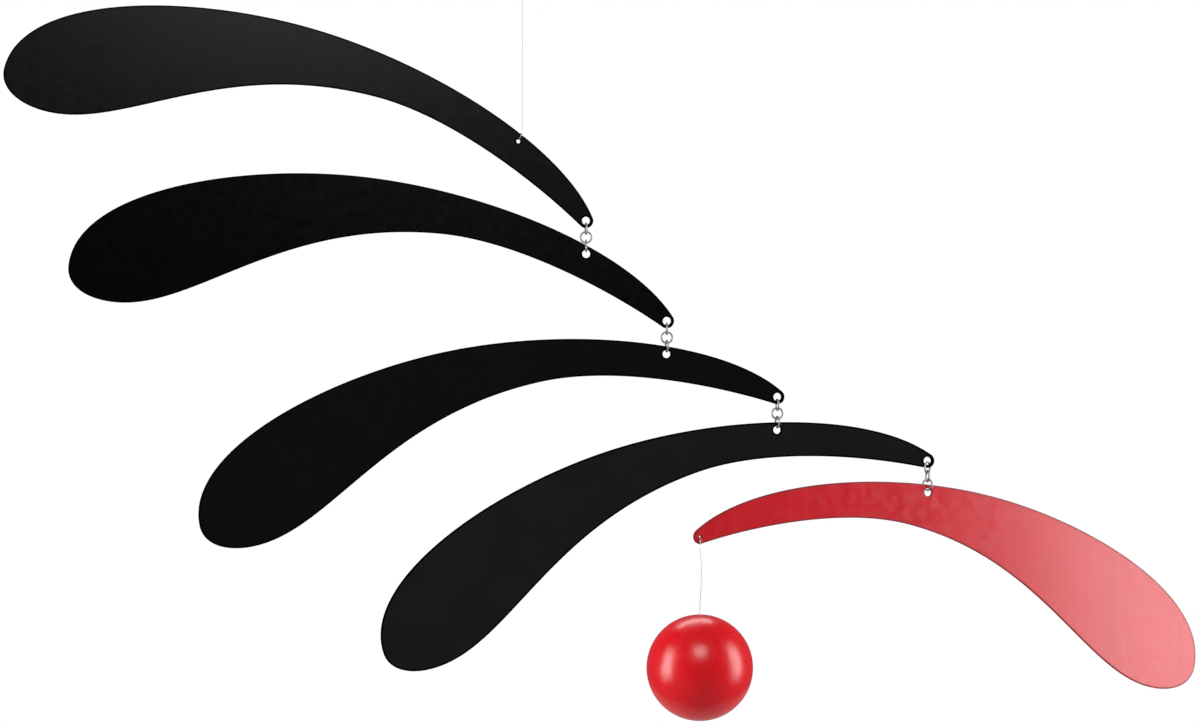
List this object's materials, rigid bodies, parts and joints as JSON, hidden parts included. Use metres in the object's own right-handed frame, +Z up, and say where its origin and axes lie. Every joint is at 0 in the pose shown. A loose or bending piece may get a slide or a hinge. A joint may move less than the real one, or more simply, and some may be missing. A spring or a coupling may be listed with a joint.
{
  "type": "baby mobile",
  "caption": "Hanging mobile of curved tapering sheet blades linked tip to back by small rings, with a ball under the lowest, on a looped thread.",
  "frame": {"origin": "the point inside the top of the thread's loop, where a hook carries the mobile", "axes": "+Z up, +X to the right and +Y away from the viewer, seen from the front"},
  "size_m": [0.6575, 0.1811, 0.4097],
  "materials": {
    "black_lacquer": "satin",
    "red_lacquer": "satin",
    "red_ball": "gloss",
    "ring_wire": "bright",
    "thread": "clear nylon"
  },
  "bodies": {
    "root": {"hanging_loop": "thread", "hanging_thread": "thread", "hanging_tie": "thread", "blade_1": "black_lacquer", "blade_2": "black_lacquer", "blade_3": "black_lacquer", "blade_4": "black_lacquer", "blade_5": "red_lacquer", "ring_1_top": "ring_wire", "ring_1_middle": "ring_wire", "ring_1_bottom": "ring_wire", "ring_2_top": "ring_wire", "ring_2_middle": "ring_wire", "ring_2_bottom": "ring_wire", "ring_3_top": "ring_wire", "ring_3_middle": "ring_wire", "ring_3_bottom": "ring_wire", "ring_4_top": "ring_wire", "ring_4_middle": "ring_wire", "ring_4_bottom": "ring_wire", "ball_tie": "thread", "ball_thread": "thread", "ball": "red_ball"}
  },
  "joints": []
}
